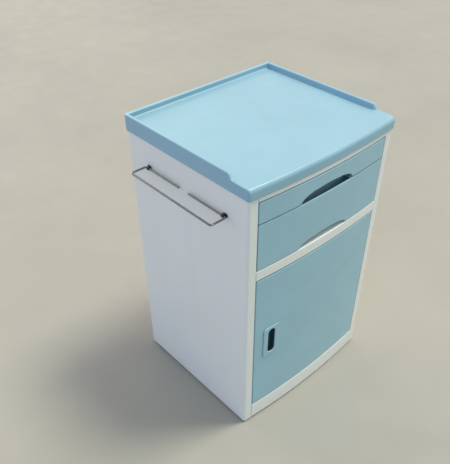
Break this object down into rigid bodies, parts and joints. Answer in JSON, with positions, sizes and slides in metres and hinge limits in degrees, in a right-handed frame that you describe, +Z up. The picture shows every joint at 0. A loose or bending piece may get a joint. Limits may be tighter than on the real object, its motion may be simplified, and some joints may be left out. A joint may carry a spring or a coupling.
{
  "type": "bedside cabinet",
  "caption": "Free-standing steel bedside cabinet with a bowed front, a lipped tray top, drawers over a hinged cupboard door and a fold-down towel rail on its side.",
  "frame": {"origin": "on the floor, under the middle of the whole object's box, towel rail included", "axes": "+Z up; -Y out of the front, where the drawers and the door are; +X to the right as seen from the front, so the towel rail is on the -X side"},
  "size_m": [0.5174, 0.4314, 0.76],
  "materials": {
    "top_plastic": "moulded light blue plastic, soft gloss with a very fine texture",
    "front_blue": "moulded light blue plastic, satin",
    "cup_plastic": "moulded dark blue-green plastic",
    "body_white": "white powder coat, satin with slight orange peel",
    "zinc_steel": "bright zinc plate",
    "rail_steel": "dulled plated wire",
    "black_plastic": "moulded black",
    "grey_plastic": "moulded grey",
    "foot_rubber": "moulded black rubber"
  },
  "bodies": {
    "cabinet": {"top_tray": "top_plastic", "left_side_panel": "body_white", "right_side_panel": "body_white", "back_panel": "body_white", "floor_panel": "body_white", "partition_panel": "body_white", "top_rail": "body_white", "middle_rail": "body_white", "base_rail": "body_white", "shelf": "body_white", "shelf_clip_left_front": "zinc_steel", "shelf_clip_left_rear": "zinc_steel", "shelf_clip_right_front": "zinc_steel", "shelf_clip_right_rear": "zinc_steel", "left_base_channel": "body_white", "right_base_channel": "body_white", "foot_left_front": "foot_rubber", "foot_left_rear": "foot_rubber", "foot_right_front": "foot_rubber", "foot_right_rear": "foot_rubber", "left_slide_carrier": "body_white", "right_slide_carrier": "body_white", "drawer_1_left_slide_outer": "zinc_steel", "drawer_1_right_slide_outer": "zinc_steel", "drawer_2_left_slide_outer": "zinc_steel", "drawer_2_right_slide_outer": "zinc_steel", "hinge_pin_top": "zinc_steel", "hinge_pin_bottom": "zinc_steel", "magnetic_catch": "grey_plastic", "rail_clip_front": "black_plastic", "rail_clip_rear": "black_plastic"},
    "drawer_1": {"drawer_1_front": "front_blue", "drawer_1_backing_plate": "front_blue", "drawer_1_box": "body_white", "drawer_1_box_front": "body_white", "drawer_1_screw_left": "zinc_steel", "drawer_1_screw_right": "zinc_steel", "drawer_1_left_slide_inner": "zinc_steel", "drawer_1_right_slide_inner": "zinc_steel"},
    "drawer_1_middle_members": {"drawer_1_left_slide_middle": "zinc_steel", "drawer_1_right_slide_middle": "zinc_steel"},
    "drawer_2": {"drawer_2_front": "front_blue", "drawer_2_backing_plate": "front_blue", "drawer_2_box": "body_white", "drawer_2_box_front": "body_white", "drawer_2_screw_left": "zinc_steel", "drawer_2_screw_right": "zinc_steel", "drawer_2_left_slide_inner": "zinc_steel", "drawer_2_right_slide_inner": "zinc_steel"},
    "drawer_2_middle_members": {"drawer_2_left_slide_middle": "zinc_steel", "drawer_2_right_slide_middle": "zinc_steel"},
    "door": {"door_skin": "front_blue", "door_back_panel": "body_white", "door_pull": "front_blue", "pull_cup": "cup_plastic", "hinge_bush_top": "grey_plastic", "hinge_bush_bottom": "grey_plastic", "strike_plate": "zinc_steel"},
    "towel_rail": {"towel_rail": "rail_steel"}
  },
  "joints": [
    {"name": "drawer_1_slide", "type": "slide", "parent": "cabinet", "child": "drawer_1", "axis": [0, -1, 0], "range_m": [0, 0.3]},
    {"name": "drawer_1_middle_slide", "type": "slide", "parent": "cabinet", "child": "drawer_1_middle_members", "axis": [0, -1, 0], "range_m": [0, 0.15]},
    {"name": "drawer_2_slide", "type": "slide", "parent": "cabinet", "child": "drawer_2", "axis": [0, -1, 0], "range_m": [0, 0.3]},
    {"name": "drawer_2_middle_slide", "type": "slide", "parent": "cabinet", "child": "drawer_2_middle_members", "axis": [0, -1, 0], "range_m": [0, 0.15]},
    {"name": "door_hinge", "type": "hinge", "parent": "cabinet", "child": "door", "pos_m": [0.21475, -0.1984, 0.2782], "axis": [0, 0, 1], "range_deg": [0, 110]},
    {"name": "towel_rail_fold", "type": "hinge", "parent": "cabinet", "child": "towel_rail", "pos_m": [-0.21425, 0, 0.654], "axis": [0, -1, 0], "range_deg": [0, 90]}
  ],
  "couplings": [
    {"joint": "drawer_1_middle_slide", "follows": "drawer_1_slide", "ratio": 0.5},
    {"joint": "drawer_2_middle_slide", "follows": "drawer_2_slide", "ratio": 0.5}
  ]
}
